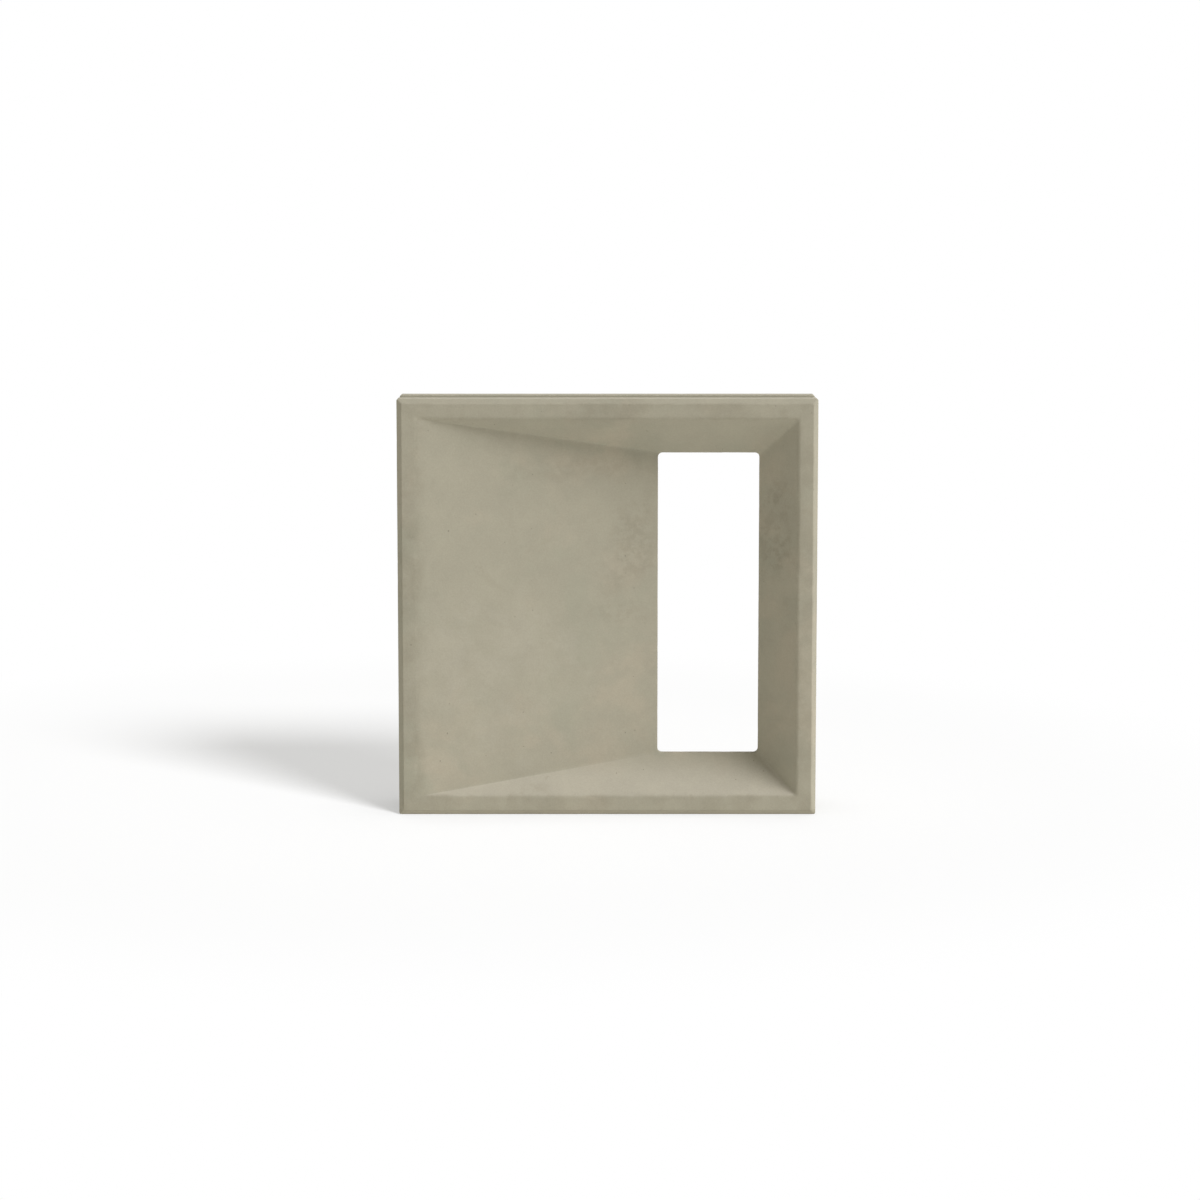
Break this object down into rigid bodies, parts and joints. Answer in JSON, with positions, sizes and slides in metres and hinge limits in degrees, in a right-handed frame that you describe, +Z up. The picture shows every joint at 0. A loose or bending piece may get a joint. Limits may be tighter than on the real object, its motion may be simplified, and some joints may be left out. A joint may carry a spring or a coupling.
{
  "type": "decorative screen block",
  "caption": "Square cast concrete screen block: a lopsided funnel recess leads to a tall off-centre opening, with a bevelled rim and a mortar groove round its sides, for open walls.",
  "frame": {"origin": "middle of the block's lower side, where it stands on the floor or on the course below", "axes": "+X along the wall to the right as seen from the front, +Y through the wall from the front face to the back face, +Z up"},
  "size_m": [0.3, 0.06, 0.3],
  "materials": {
    "concrete": "matt fair-faced concrete, beige grey, with soft cloudy patches, small pinholes and slightly worn edges"
  },
  "bodies": {
    "root": {"screen_block": "concrete"}
  },
  "joints": []
}
